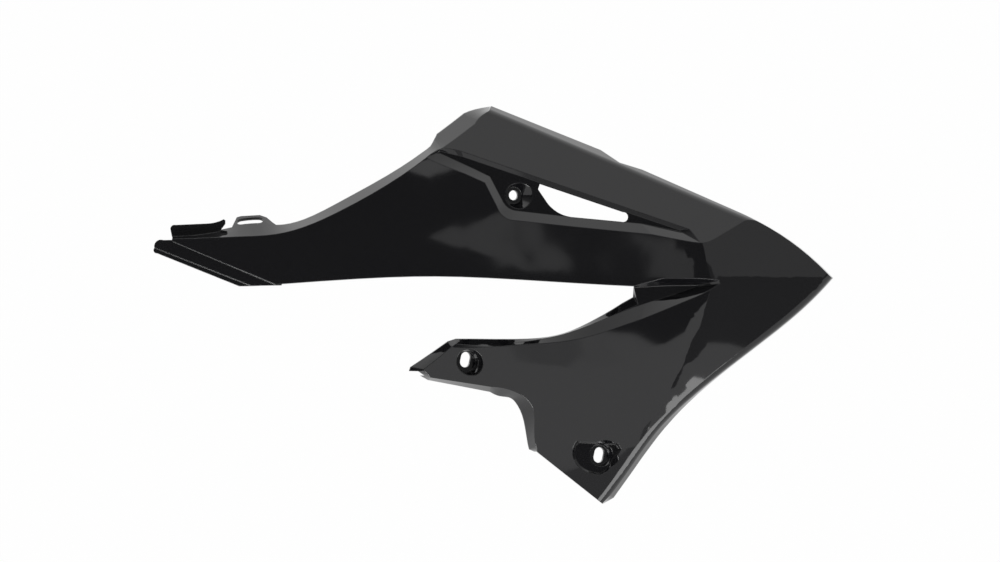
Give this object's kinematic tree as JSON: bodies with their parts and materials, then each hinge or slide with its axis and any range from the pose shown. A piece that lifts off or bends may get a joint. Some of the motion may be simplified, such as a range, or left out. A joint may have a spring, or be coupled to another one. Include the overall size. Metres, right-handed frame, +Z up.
{
  "type": "motorcycle radiator shroud",
  "caption": "Angular moulded plastic side shroud for a dirt bike radiator, with a long tapering arm, a raised blade, a nose and a leg with recessed bolt seats.",
  "frame": {"origin": "centre of the upper bolt hole, on the outboard face of its seat", "axes": "+X forward along the bike, +Z up, +Y inboard towards the radiator, so the face that shows points to -Y"},
  "size_m": [0.5709, 0.0528, 0.3344],
  "materials": {
    "shroud": "gloss"
  },
  "bodies": {
    "root": {"radiator_shroud": "shroud"}
  },
  "joints": []
}
